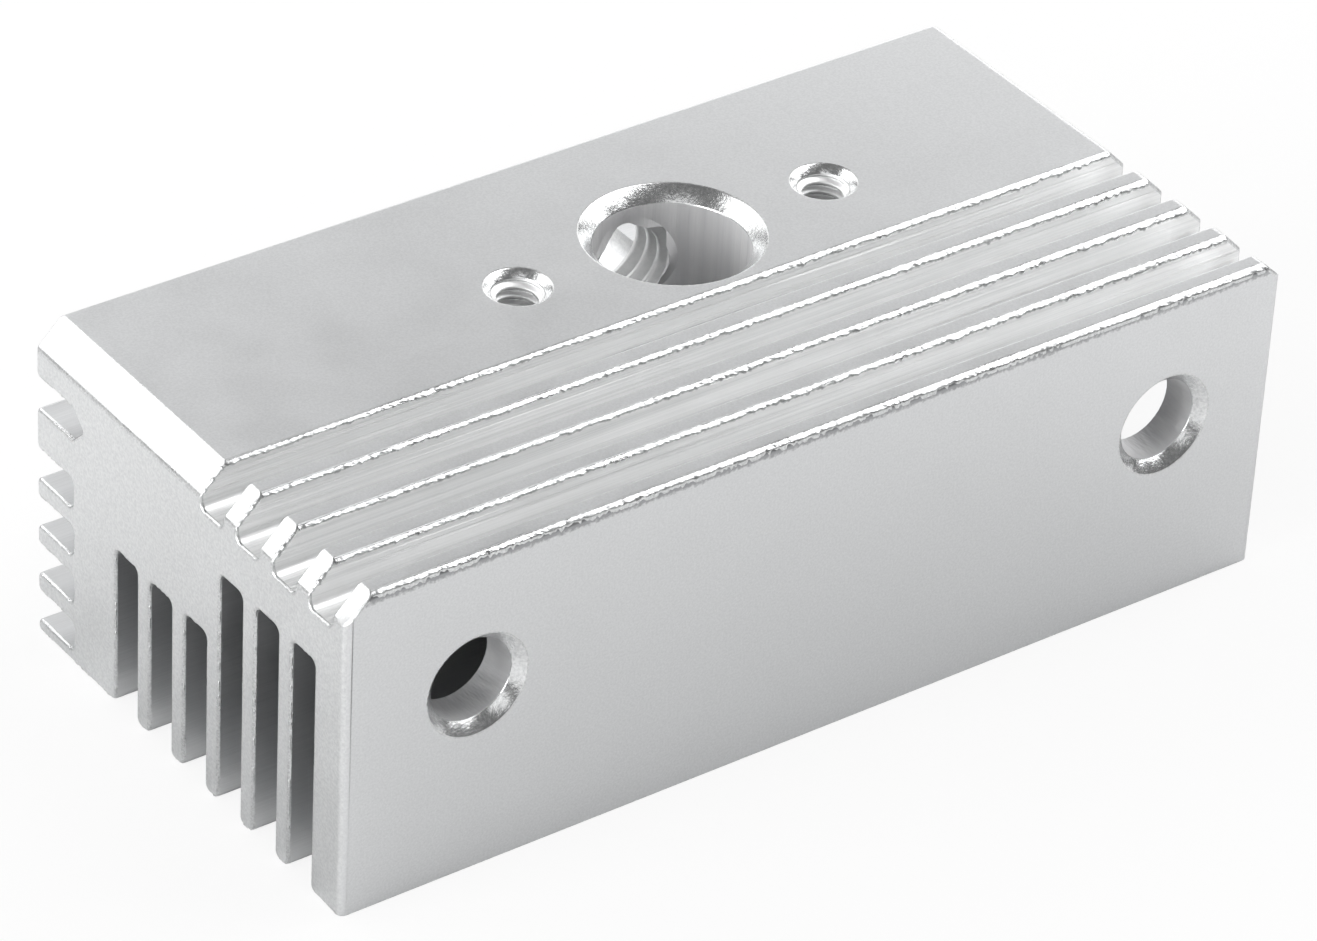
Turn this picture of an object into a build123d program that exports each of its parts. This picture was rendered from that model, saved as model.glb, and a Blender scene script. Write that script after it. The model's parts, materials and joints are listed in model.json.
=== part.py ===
from build123d import *
from math import radians, tan
import os

# Heat sink of a filament extruder: one length of finned aluminium extrusion, cut off, drilled and tapped.
# X runs along the extrusion, Y from the front plate to the rear fins, Z up. Lengths are millimetres.
# The origin is under the middle of the block, on the plane of its leg tips.

# Outside of the block
length = 41.7
depth = 20.5
height = 13.65
left_end_chamfer = 1.1
right_end_chamfer = 0.78

# Grooves along the top, counted from the front rim
groove_count = 4
rim_width = 0.89
groove_width = 1.48
groove_depth = 1.62
ridge_width = 0.85
groove_root_round = 0.35

# Slots from below, counted from the front plate. The front ones run deeper than the rear ones.
plate_thickness = 1.93
slot_width = 1.46
leg_thickness = 0.87
deep_slot_count = 3
short_slot_count = 3
deep_slot_web_thickness = 3.65
short_slot_web_thickness = 6.76
slot_root_round = 0.3
leg_tip_round = 0.3

# Slots from the rear, counted from the bottom, with the screw slot above them
bottom_fin_thickness = 0.5
rear_slot_count = 4
rear_slot_width = 1.32
rear_slot_depth = 2.5
fin_thickness = 0.81
fin_tip_round = 0.2
screw_slot_width = 1.4
screw_slot_nose_length = 0.72
screw_slot_nose_round = 0.15
top_plate_thickness = 2.27

# Rounding that drawing and finishing leave on the ridges, on the flat's long edges and on the plate
plate_top_round = 0.33
ridge_front_round = 0.22
ridge_rear_round = 0.12
long_edge_round = 0.18
plate_edge_round = 0.3

# Throat bore, square to the top
bore_diameter = 6.0
bore_chamfer = 0.56
bore_offset = 2.4
bore_rear_distance = 7.13

# Grub screw hole, from the rear into the bore. Its wall is at the thread's outer diameter.
grub_thread_diameter = 4.0

# Pair of small tapped holes, one each side of the bore. Their walls are at the thread's outer diameter.
small_thread_diameter = 2.0
small_hole_chamfer = 0.3
small_hole_depth = 5.0
small_hole_spacing = 14.0
drill_point_angle = 118

# Pair of screw holes, right through from the front plate to the rear
screw_hole_diameter = 3.4
screw_hole_chamfer = 0.43
screw_hole_spacing = 31.0
screw_hole_offset = 0.25
screw_hole_height = 8.02

# Clearance milled through the long legs at the +X end, from the middle of that screw hole outwards
relief_corner_radius = 1.5

# How near a corner of the section has to be to a side of the block to count as on it
on_side = 1e-6

front = -depth / 2
rear = depth / 2
plate_back = front + plate_thickness
slot_pitch = slot_width + leg_thickness
groove_pitch = groove_width + ridge_width
rear_slot_pitch = rear_slot_width + fin_thickness
deep_slot_top = height - deep_slot_web_thickness
short_slot_top = height - short_slot_web_thickness
screw_slot_middle = height - top_plate_thickness - screw_slot_width / 2
bore_centre = (bore_offset, rear - bore_rear_distance)
relief_length = length / 2 - screw_hole_offset - screw_hole_spacing / 2


def slot_sketch(width, run, root_round, nose=0.0, nose_round=0.0):
    """A slot that opens at the origin and runs up the local Y axis, with rounded inner corners.

    With a nose, its inner end comes to a point that centres a drill.
    """
    sides = [(-width / 2, 0), (-width / 2, run), (width / 2, run), (width / 2, 0)]
    if nose:
        sides.insert(2, (0, run + nose))
    outline = make_face(Polyline(*sides, close=True))
    inner = outline.vertices().filter_by(lambda v: v.Y > run / 2)
    if nose:
        return fillet(inner.sort_by(Axis.Y)[-1], nose_round)
    return fillet(inner, min(root_round, 0.45 * width))


def section_sketch():
    """The extrusion's cross-section, with local X as the block's Y and local Y as its Z."""
    section = Pos(0, height / 2) * Rectangle(depth, height)

    groove = slot_sketch(groove_width, groove_depth, groove_root_round)
    for i in range(groove_count):
        middle = front + rim_width + groove_width / 2 + i * groove_pitch
        section -= Pos(middle, height) * Rot(0, 0, 180) * groove

    for i in range(deep_slot_count + short_slot_count):
        top = deep_slot_top if i < deep_slot_count else short_slot_top
        middle = plate_back + slot_width / 2 + i * slot_pitch
        section -= Pos(middle, 0) * slot_sketch(slot_width, top, slot_root_round)

    rear_slot = slot_sketch(rear_slot_width, rear_slot_depth, slot_root_round)
    for i in range(rear_slot_count):
        middle = bottom_fin_thickness + rear_slot_width / 2 + i * rear_slot_pitch
        section -= Pos(rear, middle) * Rot(0, 0, 90) * rear_slot

    screw_slot = slot_sketch(
        screw_slot_width, rear_slot_depth, slot_root_round, screw_slot_nose_length, screw_slot_nose_round
    )
    section -= Pos(rear, screw_slot_middle) * Rot(0, 0, 90) * screw_slot

    tips = section.vertices().filter_by(lambda v: v.Y < on_side and v.X < rear - rear_slot_depth)
    section = fillet(tips, min(leg_tip_round, 0.4 * leg_thickness, 0.4 * plate_thickness))

    fin_ends = section.vertices().filter_by(lambda v: v.X > rear - on_side and v.Y < height - on_side)
    section = fillet(fin_ends, min(fin_tip_round, 0.4 * fin_thickness, 0.4 * bottom_fin_thickness))

    # Corners along the top, from the front: the plate's, the rim's, each ridge's two, then the flat's two
    rounds = (
        (slice(0, 1), min(plate_top_round, 0.4 * rim_width)),
        (slice(1, -1, 2), min(ridge_rear_round, 0.4 * ridge_width, 0.4 * rim_width)),
        (slice(2, -2, 2), min(ridge_front_round, 0.4 * ridge_width)),
        (slice(-2, None), min(long_edge_round, 0.5 * top_plate_thickness)),
    )
    for these, radius in rounds:
        top_corners = section.vertices().filter_by(lambda v: v.Y > height - on_side).sort_by(Axis.X)
        section = fillet(top_corners[these], radius)
    return section


def end_chamfer_wedge(side, size):
    """The corner that a 45 degree end chamfer takes off, at the +X end or, with side -1, the -X end."""
    corner = Polyline(
        (side * (length / 2 - size), height),
        (side * length / 2, height),
        (side * length / 2, height - size),
        close=True,
    )
    return extrude(Plane.XZ * make_face(corner), depth, both=True)


def drilled_hole(diameter, mouth_chamfer, run, point_length=0.0):
    """A drilled hole that runs down from the origin, with a chamfered mouth and any conical drill point."""
    radius = diameter / 2
    profile = Polyline(
        (0, 0),
        (radius + mouth_chamfer, 0),
        (radius, -mouth_chamfer),
        (radius, -run),
        (0, -run - point_length),
        close=True,
    )
    return revolve(Plane.XZ * make_face(profile), Axis.Z)


def leg_relief():
    """The pocket milled through the long legs, open below and at the +X end."""
    run = deep_slot_count * slot_pitch
    pocket = Box(relief_length, run, deep_slot_top, align=(Align.MAX, Align.MIN, Align.MIN))
    inner_corner = pocket.edges().filter_by(Axis.Z).group_by(Axis.X)[0].sort_by(Axis.Y)[-1]
    return Pos(length / 2, plate_back, 0) * fillet(inner_corner, relief_corner_radius)


def outline_from_above():
    """The block's outline from above, with the front plate's two upright edges rounded."""
    outline = Rectangle(length, depth)
    front_corners = outline.vertices().group_by(Axis.Y)[0]
    return fillet(front_corners, min(plate_edge_round, 0.4 * plate_thickness))


def heat_sink():
    """The extrusion with its ends chamfered, its legs relieved and its holes drilled."""
    block = extrude(Plane.YZ * section_sketch(), length / 2, both=True)
    block &= extrude(outline_from_above(), height)
    block -= end_chamfer_wedge(-1, left_end_chamfer)
    block -= end_chamfer_wedge(1, right_end_chamfer)
    block -= leg_relief()

    bore_x, bore_y = bore_centre
    block -= Pos(bore_x, bore_y, height) * drilled_hole(bore_diameter, bore_chamfer, height)

    small_point = small_thread_diameter / 2 / tan(radians(drill_point_angle / 2))
    small = drilled_hole(small_thread_diameter, small_hole_chamfer, small_hole_depth, small_point)
    for side in (-1, 1):
        block -= Pos(bore_x + side * small_hole_spacing / 2, bore_y, height) * small

    screw = Rot(90, 0, 0) * drilled_hole(screw_hole_diameter, screw_hole_chamfer, depth)
    for side in (-1, 1):
        screw_x = screw_hole_offset + side * screw_hole_spacing / 2
        block -= Pos(screw_x, front, screw_hole_height) * screw

    grub = Cylinder(grub_thread_diameter / 2, bore_rear_distance, rotation=(90, 0, 0))
    block -= Pos(bore_x, rear - bore_rear_distance / 2, screw_slot_middle) * grub
    return block


os.makedirs("parts", exist_ok=True)
export_step(heat_sink(), "parts/heat_sink.step")
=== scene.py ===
import json
import math

import bmesh
import bpy
import numpy as np
from mathutils import Matrix, Vector


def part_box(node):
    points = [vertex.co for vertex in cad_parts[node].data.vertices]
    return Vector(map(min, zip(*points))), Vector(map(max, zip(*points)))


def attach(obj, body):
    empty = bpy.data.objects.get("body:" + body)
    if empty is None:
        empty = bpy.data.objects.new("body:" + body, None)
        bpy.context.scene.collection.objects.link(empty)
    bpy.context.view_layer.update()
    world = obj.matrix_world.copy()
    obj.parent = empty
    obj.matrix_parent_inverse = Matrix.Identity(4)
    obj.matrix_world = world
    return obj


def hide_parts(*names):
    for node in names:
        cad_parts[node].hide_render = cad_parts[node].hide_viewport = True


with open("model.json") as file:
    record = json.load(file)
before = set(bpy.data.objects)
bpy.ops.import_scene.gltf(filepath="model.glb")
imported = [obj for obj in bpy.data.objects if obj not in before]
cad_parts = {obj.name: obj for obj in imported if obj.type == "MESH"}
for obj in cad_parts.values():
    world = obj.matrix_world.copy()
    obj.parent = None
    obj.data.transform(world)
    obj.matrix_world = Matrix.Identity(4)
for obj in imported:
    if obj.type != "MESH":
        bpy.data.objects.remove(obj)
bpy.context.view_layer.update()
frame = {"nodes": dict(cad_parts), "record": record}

# The camera. A long lens looks down over the near left corner of the block, as the photograph does.
# Its angles and place come from the block's own edges and holes in the 1317 x 941 picture.
MM = 0.001
azimuth, elevation, roll = (math.radians(angle) for angle in (-37.3165, 34.4427, 3.2149))
camera_distance, aim_right, aim_up = 248.098 * MM, -0.2356 * MM, -4.6292 * MM
focal_pixels, picture_width = 6548.1, 1317
nearest_seen = 10 * MM

back = Vector((
    math.sin(azimuth) * math.cos(elevation), -math.cos(azimuth) * math.cos(elevation), math.sin(elevation),
))
level_right = Vector((math.cos(azimuth), math.sin(azimuth), 0))
level_up = back.cross(level_right)
right = math.cos(roll) * level_right + math.sin(roll) * level_up
up = math.cos(roll) * level_up - math.sin(roll) * level_right
camera = bpy.data.objects.new("camera", bpy.data.cameras.new("camera"))
camera.data.lens = camera.data.sensor_width * focal_pixels / picture_width
camera.data.clip_start = nearest_seen
camera_place = camera_distance * back - aim_right * right - aim_up * up
camera.matrix_world = Matrix.Translation(camera_place) @ Matrix((right, up, back)).transposed().to_4x4()
bpy.context.scene.collection.objects.link(camera)
bpy.context.scene.camera = camera
bpy.context.scene.view_settings.view_transform = "Standard"


# The studio. A pale table under soft boxes, with the walls of a grey light tent all round.
# The camera sees table and tent as white, and the metal mirrors them as they are lit.
def linear(hex_code):
    """An sRGB hex value as linear red, green, blue and alpha: the inverse of the sRGB curve for each channel."""
    channels = [int(hex_code[i : i + 2], 16) / 255 for i in (1, 3, 5)]
    return [c / 12.92 if c <= 0.04045 else ((c + 0.055) / 1.055) ** 2.4 for c in channels] + [1.0]


def add(tree, kind, settings, inputs):
    """Adds a node. settings sets its properties, and inputs gives sockets a value or another node's output."""
    made = tree.nodes.new("ShaderNode" + kind)
    for name, value in settings.items():
        setattr(made, name, value)
    for name, value in inputs.items():
        if isinstance(value, bpy.types.NodeSocket):
            tree.links.new(value, made.inputs[name])
        else:
            made.inputs[name].default_value = value
    return made


def new_material(name):
    """An empty node material and its output node."""
    material = bpy.data.materials.new(name)
    material.use_nodes = True
    material.node_tree.nodes.clear()
    return material, add(material.node_tree, "OutputMaterial", {}, {})


def looked_at(tree):
    """One for a ray from the camera, straight or through a clear piece, and zero for every other ray."""
    path = add(tree, "LightPath", {}, {})
    either = {0: path.outputs["Is Camera Ray"], 1: path.outputs["Is Transmission Ray"]}
    return add(tree, "Math", {"operation": "MAXIMUM"}, either).outputs[0]


def surface(name, points, material, closed=False, slot="drawn_aluminium"):
    """A piece whose faces are the cells of a grid of points, rows by columns.

    closed joins the last column to the first.
    """
    rows, columns = points.shape[:2]
    row, column = np.meshgrid(np.arange(rows - 1), np.arange(columns if closed else columns - 1), indexing="ij")
    after = (column + 1) % columns
    quads = np.stack([row, row, row + 1, row + 1], -1) * columns + np.stack([column, after, after, column], -1)
    mesh = bpy.data.meshes.new(name)
    mesh.from_pydata(points.reshape(-1, 3), [], quads.reshape(-1, 4).tolist())
    mesh.polygons.foreach_set("use_smooth", np.ones(len(mesh.polygons), bool))
    mesh.materials.append(material)
    piece = bpy.data.objects.new(name, mesh)
    bpy.context.scene.collection.objects.link(piece)
    if slot:
        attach(piece, "root")
    return piece


# Matt white board: what the camera sees of it is mostly plain white, with enough of the lit board mixed in to keep
# the block's shadow
paper_share = 0.85
table_white, output = new_material("matt_white_table")
tree = table_white.node_tree
matt = add(tree, "BsdfDiffuse", {}, {"Color": linear("#F2F2F2"), "Roughness": 0.6})
paper = add(tree, "Emission", {}, {"Color": linear("#FFFFFF"), "Strength": 1.0})
share = add(tree, "Math", {"operation": "MULTIPLY"}, {0: looked_at(tree), 1: paper_share})
lit = add(tree, "MixShader", {}, {0: share.outputs[0], 1: matt.outputs[0], 2: paper.outputs[0]})
tree.links.new(lit.outputs[0], output.inputs["Surface"])

table_half, table_drop = 1.5, 0.02 * MM
table_corners = np.array([[[-1, -1], [1, -1]], [[-1, 1], [1, 1]]]) * table_half
table = surface("table", np.dstack([table_corners, np.full((2, 2), -table_drop)]), table_white, slot=None)

# The tent's cloth: plain grey where it lights the block or shows in the metal, and white behind it
world = bpy.data.worlds.new("light_tent")
world.use_nodes = True
tree = world.node_tree
tree.nodes.clear()
seen = looked_at(tree)
tent = add(tree, "Background", {}, {"Color": linear("#7C7C7C"), "Strength": 1.0})
white = add(tree, "Background", {}, {"Color": linear("#FFFFFF"), "Strength": 1.0})
both = add(tree, "MixShader", {}, {0: seen, 1: tent.outputs[0], 2: white.outputs[0]})
add(tree, "OutputWorld", {}, {"Surface": both.outputs[0]})
bpy.context.scene.world = world

# Soft boxes stand round the table: direction from +X and height, both in degrees, and power in watts
soft_boxes = {
    "right": (0, 34, 0.32),
    "right_rear": (45, 12, 0.19),
    "rear": (90, 34, 0.195),
    "left_rear": (131, 34, 0.25),
    "left": (180, 12, 0.84),
    "left_front": (225, 34, 0.11),
    "high_right": (340, 57, 0.333),
}
box_distance, box_side, aim_height = 300 * MM, 200 * MM, 8 * MM
for name, (turn, lift, watts) in soft_boxes.items():
    turn, lift = math.radians(turn), math.radians(lift)
    towards = Vector((math.cos(turn) * math.cos(lift), math.sin(turn) * math.cos(lift), math.sin(lift)))
    box = bpy.data.objects.new("soft_box_" + name, bpy.data.lights.new("soft_box_" + name, "AREA"))
    box.data.energy, box.data.size = watts, box_side
    box.location = box_distance * towards + Vector((0, 0, aim_height))
    box.rotation_euler = towards.to_track_quat("Z", "Y").to_euler()
    box.visible_camera = False
    bpy.context.scene.collection.objects.link(box)

# The block: one length of drawn aluminium section, sawn off, chamfered at its ends, drilled, then tumbled.
# Its form is the CAD solid's. Tumbling has taken the sharpness off every edge and left it bright.
mounts = {mount["name"]: mount for mount in frame["record"]["mounts"]}
low, high = (np.array(corner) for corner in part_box("heat_sink"))
bore = np.array(mounts["throat_bore"]["pos_m"])
bore_radius = mounts["throat_bore"]["dims"]["r_mm"] * MM
grub = np.array(mounts["grub_screw_hole"]["pos_m"])
grub_radius = mounts["grub_screw_hole"]["dims"]["r_mm"] * MM
screw = np.array(mounts["screw_holes"]["pos_m"])
screw_radius = mounts["screw_holes"]["dims"]["hole_r_mm"] * MM
screw_half_spacing = mounts["screw_holes"]["dims"]["spacing_x_mm"] / 2 * MM
small = np.array(mounts["small_tapped_holes"]["pos_m"])
small_radius = mounts["small_tapped_holes"]["dims"]["hole_r_mm"] * MM
small_half_spacing = mounts["small_tapped_holes"]["dims"]["spacing_x_mm"] / 2 * MM

# Sizes of the section and of the cuts that the record doesn't hold
groove_count, groove_depth = 4, 1.62 * MM
rim_width, groove_width, ridge_width = 0.89 * MM, 1.48 * MM, 0.85 * MM
left_chamfer, right_chamfer = 1.1 * MM, 0.78 * MM
plate_corner_round, plate_top_round = 0.30 * MM, 0.33 * MM
bore_chamfer, small_chamfer, screw_chamfer = 0.56 * MM, 0.30 * MM, 0.43 * MM

# Where a pattern's noise begins and stops to count, and the size of the patches in which the gloss changes
noise_low, noise_high, patch_size = 0.3, 0.7, 2.5 * MM
# The lines that a nick in the die draws: their spacing, their length for that width, and where a line's sides lie
line_spacing, line_stretch, line_from, line_to = 0.13 * MM, 0.004, 0.62, 0.72
# The painted shade band's colour, and its border: its grain, how far it wanders, and where it begins and is complete
painted_shade_colour = "#A2A3A5"
border_grain, border_reach, border_from, border_to = 0.16 * MM, 0.35 * MM, 0.12 * MM, 0.26 * MM


def finish_of(name, shades, roughness, grain, relief, mottle, stretch=(1, 1, 1), line_relief=0.0, painted_shade_above=None):
    """Bare aluminium with grain of one size and relief in metres, stretched where it was drawn or cut.

    Its colour runs between two shades with the grain, and its roughness varies by mottle in broad patches.
    line_relief is the height of the few deeper lines that a drawing die leaves along X, in metres.
    painted_shade_above is the level above which the colour is painted darker, as shade, with a ragged border.
    """
    material, output = new_material(name)
    tree = material.node_tree
    where = add(tree, "TexCoord", {}, {}).outputs["Object"]
    stretched = add(tree, "Mapping", {}, {"Vector": where, "Scale": stretch})
    fine = add(tree, "TexNoise", {}, {
        "Vector": stretched.outputs[0], "Scale": 1 / grain, "Detail": 3.0, "Roughness": 0.6,
    })
    broad = add(tree, "TexNoise", {}, {"Vector": where, "Scale": 1 / patch_size, "Detail": 2.0})
    ramp = add(tree, "ValToRGB", {}, {"Fac": fine.outputs["Fac"]})
    for element, place, shade in zip(ramp.color_ramp.elements, (noise_low, noise_high), shades):
        element.position, element.color = place, linear(shade)
    gloss = add(tree, "MapRange", {}, {
        "Value": broad.outputs["Fac"], "From Min": noise_low, "From Max": noise_high,
        "To Min": roughness - mottle, "To Max": roughness + mottle,
    })
    bump = add(tree, "Bump", {}, {"Height": fine.outputs["Fac"], "Distance": relief, "Strength": 1.0})
    if line_relief:
        drawn = add(tree, "Mapping", {}, {"Vector": where, "Scale": (line_stretch, 1, 1)})
        scored = add(tree, "TexNoise", {}, {"Vector": drawn.outputs[0], "Scale": 1 / line_spacing, "Detail": 1.0})
        few = add(tree, "MapRange", {}, {"Value": scored.outputs["Fac"], "From Min": line_from, "From Max": line_to})
        bump = add(tree, "Bump", {}, {
            "Height": few.outputs[0], "Distance": line_relief, "Strength": 1.0, "Normal": bump.outputs[0],
        })
    colour = ramp.outputs[0]
    # Painted shade: above the given level, behind a ragged border, the colour darkens to a fixed grey
    if painted_shade_above:
        level = add(tree, "SeparateXYZ", {}, {"Vector": where}).outputs["Z"]
        ragged = add(tree, "TexNoise", {}, {"Vector": where, "Scale": 1 / border_grain, "Detail": 2.0})
        wandering = add(tree, "Math", {"operation": "MULTIPLY_ADD"}, {
            0: ragged.outputs["Fac"], 1: border_reach, 2: level,
        })
        within_band = add(tree, "MapRange", {}, {
            "Value": wandering.outputs[0], "To Min": 0.0, "To Max": 1.0,
            "From Min": painted_shade_above + border_from, "From Max": painted_shade_above + border_to,
        })
        darker = add(tree, "Mix", {"data_type": "RGBA"}, {
            0: within_band.outputs[0], 6: colour, 7: linear(painted_shade_colour),
        })
        colour = darker.outputs[2]
    metal = add(tree, "BsdfPrincipled", {}, {
        "Base Color": colour, "Metallic": 1.0, "Roughness": gloss.outputs[0], "Normal": bump.outputs[0],
    })
    tree.links.new(metal.outputs[0], output.inputs["Surface"])
    return material


# Tumbled outer faces: a soft, even sheen. The dents of the tumbling chips are too fine for the picture, so here and
# on the finishes below the grain is drawn at about a tenth of a millimetre, to show.
tumbled = finish_of(
    "tumbled_aluminium", ("#D2D3D4", "#DEDFE0"),
    roughness=0.36, grain=0.09 * MM, relief=0.0012 * MM, mottle=0.03,
)
# Sawn ends, tumbled after: duller, with specks where the saw's furrows catch the light
sawn = finish_of(
    "sawn_tumbled_aluminium", ("#CFD0D1", "#E2E3E3"),
    roughness=0.42, grain=0.12 * MM, relief=0.006 * MM, mottle=0.03,
)
# Grooves as the die left them, in streaks that run the whole length, with a few keen lines. Their lighter shades are
# painted light, for the light that the groove walls catch
grooved = finish_of(
    "drawn_aluminium_grooves_painted_light", ("#E4E5E5", "#FAFAFA"),
    roughness=0.39, grain=0.09 * MM, relief=0.012 * MM, mottle=0.03, stretch=(0.006, 1, 1), line_relief=0.012 * MM,
)
# Slots between the legs and fins, drawn too but out of the chips' reach: even, with faint streaks
slotted = finish_of(
    "drawn_aluminium_slots", ("#D3D4D5", "#DCDDDE"),
    roughness=0.38, grain=0.07 * MM, relief=0.003 * MM, mottle=0.03, stretch=(0.02, 1, 1),
)
# The plate's face: as the tumbled faces, with a band of painted shade under its rounded top edge
band_depth = 0.42 * MM
fronted = finish_of(
    "tumbled_aluminium_front_painted_shade", ("#D2D3D4", "#DEDFE0"),
    roughness=0.36, grain=0.09 * MM, relief=0.0012 * MM, mottle=0.03, painted_shade_above=high[2] - band_depth,
)
# Tops of the ridges: coloured a little darker than the flat, as painted shade
shaded_ridge_tops = finish_of(
    "ridge_tops_painted_shade", ("#CFD0D1", "#DADBDC"),
    roughness=0.38, grain=0.09 * MM, relief=0.003 * MM, mottle=0.03,
)
# Reamed bore: dull, with long upright streaks, drawn far coarser than a reamer's own so that they show. Its pale
# shades are painted light, for light reaching down into the bore
reamed = finish_of(
    "reamed_aluminium_painted_light", ("#ECECED", "#FAFAFA"),
    roughness=0.58, grain=0.5 * MM, relief=0.090 * MM, mottle=0.03, stretch=(1, 1, 0.02),
)
# Drilled screw holes: dull, with short streaks along the drill's way, drawn as coarse as the bore's. Their pale
# shades are painted light, for light reaching into the holes
drilled = finish_of(
    "drilled_aluminium_painted_light", ("#F0F0F1", "#FBFBFB"),
    roughness=0.64, grain=0.6 * MM, relief=0.110 * MM, mottle=0.04, stretch=(1, 0.25, 1),
)
# Countersunk mouths, cut by a chattering tool: glossy, so they break the soft boxes into bright and dark flecks
turned = finish_of(
    "countersunk_aluminium", ("#CCCDCE", "#EEEFEF"),
    roughness=0.21, grain=0.13 * MM, relief=0.012 * MM, mottle=0.05,
)
# Worn edges, crests and burrs, burnished by the chips: lumpy, glossy metal that sparkles where it faces a light
burnished = finish_of(
    "burnished_edge_aluminium", ("#BCBDBE", "#E4E5E5"),
    roughness=0.30, grain=0.09 * MM, relief=0.012 * MM, mottle=0.05,
)
block_finishes = (tumbled, sawn, grooved, reamed, turned, burnished, slotted, shaded_ridge_tops, fronted, drilled)

# The widest rounding of a worn edge, and how much of it each kind of edge takes. An edge counts from 40 degrees.
# One that runs along the block counts from 60, which leaves the slopes at the screw slot's pointed inner end alone.
widest_wear, wear_steps = 0.16 * MM, 3
sharp_from, sharp_long_from = math.radians(40), math.radians(60)
# An edge runs along the block where this share of its length is along X, and where it is longer than this
long_share, long_from = 0.99, 1.0 * MM
inner_wear, mouth_wear, left_end_wear, right_end_wear, chamfer_wear = 0.05, 0.3, 0.8, 0.5, 1.0
# Triangles within this angle of each other are one flat face, and corners within this distance are one corner
flat_within, merge_within = math.radians(0.5), 1e-7
# How far in from the block's sides each kind of edge or face can lie
end_zone, right_chamfer_zone = left_chamfer + 0.1 * MM, right_chamfer + 0.02 * MM
front_zone = plate_top_round + 0.02 * MM
corner_zone, mouth_zone, top_zone = plate_corner_round + 0.01 * MM, 0.5 * MM, 1.2 * MM
# A hole's wall lies within this multiple of its radius. A chamfer's normal leans along X between the next two values,
# and leans along Y, or down, by less than the last.
hole_margin, chamfer_from, chamfer_to, level_within = 1.02, 0.70, 0.75, 0.01

block_mesh = frame["nodes"]["heat_sink"].data.copy()
block_mesh.name = "tumbled_block"
shape = bmesh.new()
shape.from_mesh(block_mesh)
bmesh.ops.remove_doubles(shape, verts=shape.verts, dist=merge_within)
bmesh.ops.dissolve_limit(shape, angle_limit=flat_within, verts=shape.verts, edges=shape.edges)
weight = shape.edges.layers.float.new("bevel_weight_edge")
for edge in shape.edges:
    ends = [vertex.co for vertex in edge.verts]
    middle = (ends[0] + ends[1]) / 2
    from_end = min(middle.x - low[0], high[0] - middle.x)
    on_end = all(min(end.x - low[0], high[0] - end.x) < merge_within for end in ends)
    runs_long = abs(ends[0].x - ends[1].x) > max((ends[0] - ends[1]).length * long_share, long_from)
    sharp = edge.calc_face_angle(0.0) > (sharp_long_from if runs_long else sharp_from)

    # The cross hole's mouths and the plate's upright corners stay as they are, because many of the short edges that
    # make up their curves are shorter than the rounding is wide
    from_grub = math.hypot(middle.x - grub[0], middle.z - grub[2])
    in_cross_hole = from_grub < grub_radius * hole_margin and middle.y > bore[1]
    on_plate_corner = middle.y < low[1] + corner_zone and from_end < corner_zone
    kept_sharp = in_cross_hole or on_plate_corner

    by_right_chamfer = middle.x > high[0] - right_chamfer_zone and not on_end
    on_right_chamfer = by_right_chamfer and all(abs(face.normal.x) < chamfer_to for face in edge.link_faces)
    end_wear = left_end_wear if middle.x < 0 else right_end_wear
    by_mouths = middle.z > high[2] - top_zone or middle.y < low[1] + mouth_zone
    other_wear = mouth_wear if by_mouths else inner_wear
    wear = chamfer_wear if on_right_chamfer else end_wear if on_end else other_wear
    edge[weight] = wear * (sharp and not kept_sharp)
    edge.smooth = not (sharp and kept_sharp)

# The outlines of the two end faces and of the chamfers' facets, kept for the burrs, with the sum of the two faces'
# normals at each of their edges
end_loops = []
for face in shape.faces:
    face.smooth = True
    at_end = all(min(vertex.co.x - low[0], high[0] - vertex.co.x) < end_zone for vertex in face.verts)
    faces_out = abs(face.normal.x) > chamfer_from and abs(face.normal.y) < level_within
    if at_end and faces_out and face.normal.z > -level_within:
        corners = [loop.vert.co[:] for loop in face.loops]
        outwards = [sum((side.normal for side in loop.edge.link_faces), Vector())[:] for loop in face.loops]
        end_loops.append((np.array(corners), np.array(outwards)))
shape.to_mesh(block_mesh)
shape.free()
if "custom_normal" in block_mesh.attributes:
    block_mesh.attributes.remove(block_mesh.attributes["custom_normal"])
block_mesh.materials.clear()
for material in block_finishes:
    block_mesh.materials.append(material)
block = bpy.data.objects.new("tumbled_block", block_mesh)
bpy.context.scene.collection.objects.link(block)
worn = block.modifiers.new("worn_edges", "BEVEL")
worn.limit_method = "WEIGHT"
worn.width, worn.segments = widest_wear, wear_steps
worn.use_clamp_overlap = False
worn.miter_outer = "MITER_ARC"
worn.material = block_finishes.index(burnished)
even = block.modifiers.new("even_shading", "WEIGHTED_NORMAL")
even.mode, even.weight, even.keep_sharp = "FACE_AREA", 50, True
bpy.context.view_layer.update()
finished = bpy.data.meshes.new_from_object(block.evaluated_get(bpy.context.evaluated_depsgraph_get()))
block.modifiers.clear()
block.data = finished
finished.name = "tumbled_block"

# Nothing of the worn block stands out of the solid's box
points = np.empty(len(finished.vertices) * 3, np.float32)
finished.vertices.foreach_get("co", points)
finished.vertices.foreach_set("co", np.clip(points.reshape(-1, 3), low, high).ravel())

# Each face takes the finish of its place: later lines overrule earlier ones
faces = len(finished.polygons)
centre, normal, finish = np.empty(faces * 3), np.empty(faces * 3), np.empty(faces, np.int32)
finished.polygons.foreach_get("center", centre)
finished.polygons.foreach_get("normal", normal)
finished.polygons.foreach_get("material_index", finish)
x, y, z = centre.reshape(-1, 3).T
faces_x, faces_y, faces_z = normal.reshape(-1, 3).T
turns_x, turns_y, turns_z = np.abs(faces_x), np.abs(faces_y), np.abs(faces_z)
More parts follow.
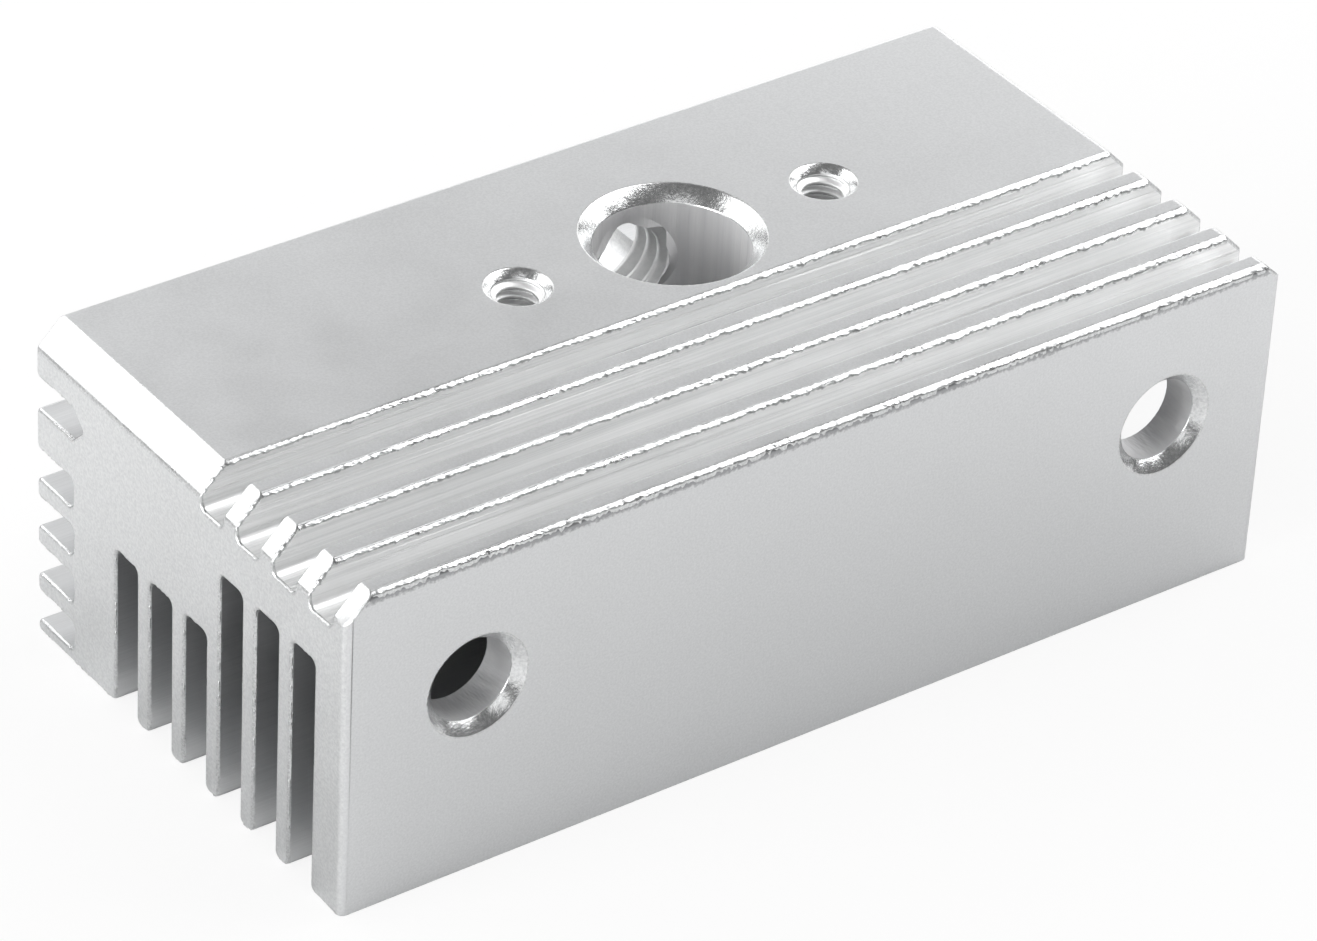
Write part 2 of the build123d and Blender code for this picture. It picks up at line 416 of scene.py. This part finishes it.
# How far a face's unit normal leans towards an axis: the limits between one kind of face and another
slightly, little, partly, mostly, nearly = 0.1, 0.2, 0.3, 0.6, 0.9
at_45_degrees, mouth_lean = math.sqrt(0.5), 0.15
skin, ridge_skin, mouth_margin = 0.1 * MM, 0.15 * MM, 0.1 * MM
below_grooves, past_grooves = 0.05 * MM, 0.09 * MM
behind_grooves = low[1] + rim_width + groove_count * groove_width + (groove_count - 1) * ridge_width + past_grooves
cut = finish != block_finishes.index(burnished)
along = turns_x < little
inside = (z < high[2] - skin) & (y > low[1] + skin) & (y < high[1] - skin)
finish[cut] = block_finishes.index(tumbled)
on_plate = (faces_y < -slightly) & (y < low[1] + front_zone)
finish[cut & on_plate] = block_finishes.index(fronted)
finish[cut & (turns_x > mostly)] = block_finishes.index(sawn)
finish[cut & along & inside] = block_finishes.index(slotted)
in_grooves = (z > high[2] - groove_depth - below_grooves) & (y < behind_grooves)
finish[cut & along & inside & in_grooves] = block_finishes.index(grooved)
on_ridge = (faces_z > mostly) & (z > high[2] - ridge_skin) & (y < behind_grooves)
finish[cut & along & on_ridge] = block_finishes.index(shaded_ridge_tops)

from_bore = np.hypot(x - bore[0], y - bore[1])
finish[(from_bore < bore_radius * hole_margin) & (turns_z < partly)] = block_finishes.index(reamed)
top_mouths = (from_bore < bore_radius + bore_chamfer + mouth_margin) & (z > high[2] - bore_chamfer - mouth_margin)
for side in (-1, 1):
    from_small = np.hypot(x - small[0] - side * small_half_spacing, y - small[1])
    near_small = from_small < small_radius + small_chamfer + mouth_margin
    top_mouths |= near_small & (z > high[2] - small_chamfer - mouth_margin)
    from_screw = np.hypot(x - screw[0] - side * screw_half_spacing, z - screw[2])
    finish[(from_screw < screw_radius * hole_margin) & (turns_y < partly)] = block_finishes.index(drilled)
    near_screw = (from_screw < screw_radius + screw_chamfer + mouth_margin) & (y < low[1] + mouth_zone)
    finish[near_screw & (turns_y > partly) & (turns_y < nearly)] = block_finishes.index(turned)
finish[top_mouths & (np.abs(faces_z - at_45_degrees) < mouth_lean)] = block_finishes.index(turned)
finished.polygons.foreach_set("material_index", finish)
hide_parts("heat_sink")
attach(block, "root")

# The crests. Drawing and tumbling have rolled a rough, bright bead along the five long edges on the plate's side:
# the plate's own, the three ridges' and the flat's. Each lies over the edge's rounding and dies out at its ends.
crest_step, crest_fade = 0.04 * MM, 0.25 * MM
crest_sink, crest_end_sink, front_gap = 0.002 * MM, 0.02 * MM, 0.001 * MM
crest_grain, narrowest, upper_wander = 0.004 * MM, 0.6, 0.3
# Blur lengths of the crests' wander along and across the strip, in its cells: a fine one and a broad, weaker one
ripple, heave, heave_share = (1.2, 3), (5, 9), 0.6


def smoothed_noise(rows, columns, row_length, column_length, random):
    """White noise blurred by a Gaussian of the given lengths, in cells, and scaled to a spread of one.

    The blur weakens each wave by exp(-20 (length x frequency)^2). 20 is about 2 pi squared, so a length is the
    Gaussian's standard deviation.
    """
    along, across = np.fft.fftfreq(rows)[:, None] * row_length, np.fft.fftfreq(columns) * column_length
    blur = np.exp(-20 * (along**2 + across**2))
    field = np.fft.ifft2(np.fft.fft2(random.standard_normal((rows, columns))) * blur).real
    return field / field.std()


def worn_crest(name, start, reach, slopes, lengths, raggedness, random):
    """A strip carried along X, its section walked forwards and down in straight steps.

    slopes are the steps' angles in degrees and lengths their lengths in millimetres, which wander along X by
    raggedness, more so lower down. Fine grain lies over the whole. The strip is narrower at the left, and starts
    nearer to the edge there by a share of reach. Its ends, and its borders, sink just under the flats beside it.
    """
    along = np.arange(low[0] + left_chamfer, high[0] - right_chamfer, crest_step)
    ends = np.clip(np.minimum(along - along[0], along[-1] - along) / crest_fade, 0, 1)[:, None]
    steps, count = np.radians(slopes), len(slopes)
    wander = smoothed_noise(len(along), count, *ripple, random)
    wander = wander + heave_share * smoothed_noise(len(along), count, *heave, random)
    widening = np.linspace(narrowest, 1.0, len(along))[:, None]
    run = np.array(lengths) * MM * widening * (1 + raggedness * wander * np.linspace(upper_wander, 1, count))
    zero = np.zeros((len(along), 1))
    forward = np.hstack([zero, np.cumsum(run * np.cos(steps), 1)])
    down = np.hstack([zero, np.cumsum(run * np.sin(steps), 1)])
    speckle = crest_grain * smoothed_noise(len(along), count + 1, 1, 1, random) * ends
    swelling = np.sin(np.linspace(0, math.pi, count + 1)) ** 0.5
    deep = crest_sink + (1 - ends) * crest_end_sink
    start = start - reach * (1 - widening)
    crest_y = np.maximum(start - forward + deep - speckle * swelling, low[1] + front_gap)
    crest_z = np.minimum(high[2] - down - deep + speckle * swelling, high[2])
    return surface(name, np.stack([along[:, None] + 0 * crest_y, crest_y, crest_z], -1), burnished)


random = np.random.default_rng(31)
plate_slopes = (5, 18, 28, 32, 35, 38, 42, 60, 76, 81, 85, 96, 100)
plate_lengths = (0.05, 0.03, 0.05, 0.05, 0.05, 0.05, 0.04, 0.03, 0.06, 0.08, 0.06, 0.03, 0.04)
worn_crest(
    "plate_crest", start=low[1] + 0.305 * MM, reach=0.25 * MM, slopes=plate_slopes, lengths=plate_lengths,
    raggedness=0.12, random=random,
)
ridge_slopes = (8, 20, 30, 34, 37, 40, 44, 65, 90, 115, 140, 155)
ridge_lengths = (0.05, 0.03, 0.05, 0.05, 0.04, 0.04, 0.03, 0.03, 0.04, 0.04, 0.05, 0.05)
for i in range(groove_count):
    edge = low[1] + rim_width + groove_width + i * (groove_width + ridge_width)
    worn_crest(
        f"groove_crest_{i + 1}", start=edge + 0.18 * MM, reach=0.2 * MM, slopes=ridge_slopes, lengths=ridge_lengths,
        raggedness=0.14, random=random,
    )

# The burrs. Sawing and chamfering left a fine, lumpy burr round both end faces and round each facet of the left
# chamfer. Tumbling has pressed it down into a bright bead along the worn edge.
burr_step, burr_sides, inside_box = 0.05 * MM, 10, 0.0005 * MM
# The sum of two faces' unit normals is 1.85 long where they meet at 45 degrees, and 0.43 less at a right angle
blunt, keenness_range, rear_looking = 1.85, 0.43, 0.1
thinnest_lump, thickest_lump, blunt_share = 0.2, 2.4, 0.3


def burr(name, corners, outwards, thickness, sink, unevenness, random):
    """A tube round a closed outline, set in from its edges along the mean of the two faces there, its radius uneven.

    The tube is thinner where the two faces meet at a blunt angle, and on the sides that look to the rear.
    """
    edges = np.roll(corners, -1, 0) - corners
    lengths = np.linalg.norm(edges, axis=1)
    reached = np.concatenate([[0], np.cumsum(lengths)])
    count = int(reached[-1] / burr_step)
    travelled = np.linspace(0, reached[-1], count, endpoint=False)
    which = np.searchsorted(reached, travelled, "right") - 1
    share = ((travelled - reached[which]) / lengths[which])[:, None]
    middle = corners[which] + share * edges[which]
    tangent, outward = edges[which] / lengths[which][:, None], outwards[which]
    keen = ((blunt - np.linalg.norm(outward, axis=1)) / keenness_range).clip(0, 1) * (outward[:, 1] < rear_looking)
    tangent = sum(np.roll(tangent, shift, 0) for shift in (-1, 0, 1))
    outward = sum(np.roll(outward, shift, 0) for shift in (-1, 0, 1))
    tangent = tangent / np.linalg.norm(tangent, axis=1)[:, None].clip(1e-9)
    outward = outward - (outward * tangent).sum(1)[:, None] * tangent
    outward = outward / np.linalg.norm(outward, axis=1)[:, None].clip(1e-9)
    sideways = np.cross(tangent, outward)
    lumps = smoothed_noise(count, 1, 1, 1, random)[:, 0] + smoothed_noise(count, 1, 4, 1, random)[:, 0]
    swell = (1 + unevenness * lumps).clip(thinnest_lump, thickest_lump)
    radius = (thickness * (blunt_share + (1 - blunt_share) * keen) * swell)[:, None]
    turn = np.linspace(0, 2 * math.pi, burr_sides, endpoint=False)
    heart = middle - sink * outward
    rings = [heart + radius * (math.cos(a) * outward + math.sin(a) * sideways) for a in turn]
    return surface(name, np.clip(np.stack(rings, 1), low + inside_box, high - inside_box), burnished, closed=True)


# An end face's outline goes round all its slots and has hundreds of corners, and a facet's has a few dozen
most_facet_corners = 100
for i, (corners, outwards) in enumerate(end_loops):
    if len(corners) > most_facet_corners:
        burr(
            f"end_burr_{i + 1}", corners, outwards,
            thickness=0.020 * MM, sink=0.072 * MM, unevenness=0.9, random=random,
        )
    elif corners[0, 0] < 0:
        burr(
            f"facet_burr_{i + 1}", corners, outwards,
            thickness=0.074 * MM, sink=0.076 * MM, unevenness=0.24, random=random,
        )

# The grub screw's thread, M4 x 0.7, tapped from the rear fins through into the throat bore.
# Its crests are cut off by the bore, and it stops on both sides of the screw slot.

# A thread's depth, half its crest's width and half its root's, as shares of the pitch
thread_depth, crest_half, root_half = 0.5413, 0.125, 0.0625
grub_pitch, rear_slot_depth = 0.7 * MM, 2.5 * MM
# How far the thread's root lies behind the hole's wall, and the points round each hole and in one turn's pitch
bedding, grub_around, small_around, steps_per_turn = 0.002 * MM, 120, 72, 14


def thread_height(turns, pitch):
    """The inward height of a 60 degree thread at a place given in turns: flat crest, straight flanks, flat root."""
    from_crest = np.abs(turns - np.floor(turns) - 0.5) * pitch
    flank_run = (0.5 - crest_half - root_half) * pitch
    return thread_depth * pitch * np.clip(((0.5 - root_half) * pitch - from_crest) / flank_run, 0, 1)


# Tapped threads: dull, because the tap tears the soft metal a little. The tears are drawn coarse, to show. Their
# pale shades are painted light, for light falling into the holes
tapped = finish_of(
    "tapped_aluminium_painted_light", ("#F0F1F1", "#F9F9F9"),
    roughness=0.55, grain=0.2 * MM, relief=0.006 * MM, mottle=0.04,
)

# Each row of points goes once round the hole. The first row lies on the bore's wall, which curves, and the last at
# the slot's inner end. Its radius is the hole's less the thread's height, which climbs one pitch in each turn.
angle = np.linspace(0, 2 * math.pi, grub_around, endpoint=False)
slot_bottom = high[1] - rear_slot_depth
wall = bore[1] + np.sqrt(bore_radius**2 - np.minimum(grub_radius * np.abs(np.sin(angle)), bore_radius) ** 2)
rows = int((slot_bottom - wall.min()) / grub_pitch * steps_per_turn)
run = np.linspace(0, 1, rows)[:, None]
depth_in = wall + run * (slot_bottom - wall)
height = thread_height(depth_in / grub_pitch - angle / (2 * math.pi), grub_pitch)
height[-1] = 0
radius = grub_radius + bedding - height
radius = np.vstack([np.full(grub_around, grub_radius + bedding), radius])
depth_in = np.vstack([wall, depth_in])
thread = np.stack([grub[0] + radius * np.sin(angle), depth_in, grub[2] + radius * np.cos(angle)], -1)
threads = surface("grub_screw_thread", thread, tapped, closed=True)
# The ring between the first two rows is the thread's cut end in the bore's wall: flat, and reamed with the wall
beyond_mouth = np.arange(len(threads.data.polygons)) >= grub_around
threads.data.materials.append(reamed)
threads.data.polygons.foreach_set("use_smooth", beyond_mouth)
threads.data.polygons.foreach_set("material_index", 1 - beyond_mouth.astype(np.int32))

# The threads of the two small holes, M2 x 0.4, each tapped down from its countersunk mouth.
# The chamfer at each mouth cuts their first turn away.
small_pitch, small_run = 0.4 * MM, 4.2 * MM
small_top = high[2] - small_chamfer
rows = int(small_run / small_pitch * steps_per_turn)
drop = np.linspace(0, small_run, rows)[:, None]
angle = np.linspace(0, 2 * math.pi, small_around, endpoint=False)
for side, name in ((-1, "left"), (1, "right")):
    level = small_top - drop + 0 * angle
    height = thread_height(level / small_pitch - angle / (2 * math.pi), small_pitch)
    height[-1] = 0
    radius = np.maximum(small_radius + bedding - height, small_radius - drop)
    middle = small[0] + side * small_half_spacing
    thread = np.stack([middle + radius * np.cos(angle), small[1] + radius * np.sin(angle), level], -1)
    surface(f"small_thread_{name}", thread, tapped, closed=True)
